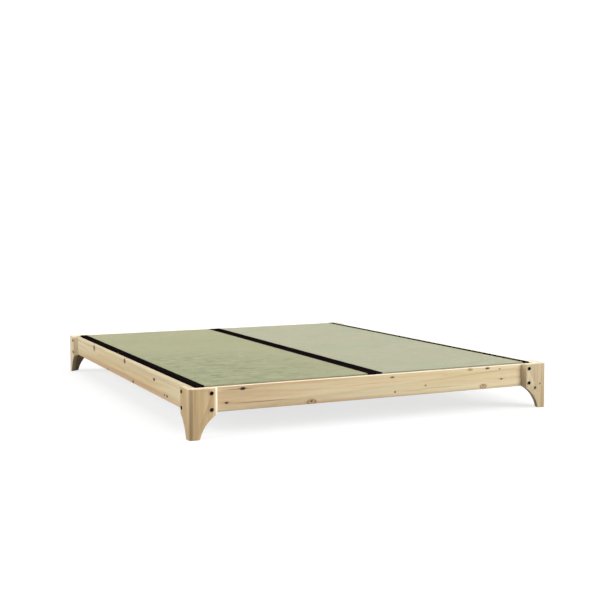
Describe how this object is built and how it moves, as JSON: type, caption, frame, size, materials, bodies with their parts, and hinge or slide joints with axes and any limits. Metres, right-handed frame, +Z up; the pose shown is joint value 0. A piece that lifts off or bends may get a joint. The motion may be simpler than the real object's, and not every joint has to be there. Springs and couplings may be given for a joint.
{
  "type": "platform bed frame",
  "caption": "Low pine platform bed on bracket-like corner legs, with rush mats bound in dark cloth laid inside the frame on a slatted base.",
  "frame": {"origin": "on the floor, at the middle of the bed's plan", "axes": "+X across the bed to its right seen from the front, +Y along the bed from front to rear, +Z up"},
  "size_m": [1.7056, 2.1216, 0.203],
  "materials": {
    "leg_pine": "clear matt lacquer on pine, grain upright, a few small dark knots",
    "rail_pine": "clear matt lacquer on pine, grain along the rail, dark knots",
    "slat_pine": "planed bare pine",
    "woven_rush": "matt woven rush, pale sage to straw, fine ribs",
    "border_cloth": "near-black matt cotton tape",
    "black_bolt": "satin black",
    "zinc_bracket": "dull zinc plate"
  },
  "bodies": {
    "frame": {"beam_bracket_front_left": "zinc_bracket", "beam_bracket_front_right": "zinc_bracket", "beam_bracket_rear_left": "zinc_bracket", "beam_bracket_rear_right": "zinc_bracket", "centre_beam": "slat_pine", "centre_foot_1": "slat_pine", "centre_foot_2": "slat_pine", "centre_foot_3": "slat_pine", "front_left_leg_butt_board": "leg_pine", "front_left_leg_butt_bolt_lower": "black_bolt", "front_left_leg_butt_bolt_upper": "black_bolt", "front_left_leg_through_board": "leg_pine", "front_left_leg_through_bolt_lower": "black_bolt", "front_left_leg_through_bolt_upper": "black_bolt", "front_rail": "rail_pine", "front_right_leg_butt_board": "leg_pine", "front_right_leg_butt_bolt_lower": "black_bolt", "front_right_leg_butt_bolt_upper": "black_bolt", "front_right_leg_through_board": "leg_pine", "front_right_leg_through_bolt_lower": "black_bolt", "front_right_leg_through_bolt_upper": "black_bolt", "left_ledger": "slat_pine", "left_rail": "rail_pine", "rear_left_leg_butt_board": "leg_pine", "rear_left_leg_butt_bolt_lower": "black_bolt", "rear_left_leg_butt_bolt_upper": "black_bolt", "rear_left_leg_through_board": "leg_pine", "rear_left_leg_through_bolt_lower": "black_bolt", "rear_left_leg_through_bolt_upper": "black_bolt", "rear_rail": "rail_pine", "rear_right_leg_butt_board": "leg_pine", "rear_right_leg_butt_bolt_lower": "black_bolt", "rear_right_leg_butt_bolt_upper": "black_bolt", "rear_right_leg_through_board": "leg_pine", "rear_right_leg_through_bolt_lower": "black_bolt", "rear_right_leg_through_bolt_upper": "black_bolt", "right_ledger": "slat_pine", "right_rail": "rail_pine", "slat_01": "slat_pine", "slat_02": "slat_pine", "slat_03": "slat_pine", "slat_04": "slat_pine", "slat_05": "slat_pine", "slat_06": "slat_pine", "slat_07": "slat_pine", "slat_08": "slat_pine", "slat_09": "slat_pine", "slat_10": "slat_pine", "slat_11": "slat_pine", "slat_12": "slat_pine", "slat_13": "slat_pine", "slat_14": "slat_pine"},
    "left_mat_body": {"left_mat": "woven_rush", "left_mat_border_left": "border_cloth", "left_mat_border_right": "border_cloth"},
    "right_mat_body": {"right_mat": "woven_rush", "right_mat_border_left": "border_cloth", "right_mat_border_right": "border_cloth"}
  },
  "joints": [
    {"name": "left_mat_lift", "type": "slide", "parent": "frame", "child": "left_mat_body", "axis": [0, 0, 1], "range_m": [0, 0.25]},
    {"name": "right_mat_lift", "type": "slide", "parent": "frame", "child": "right_mat_body", "axis": [0, 0, 1], "range_m": [0, 0.25]}
  ]
}
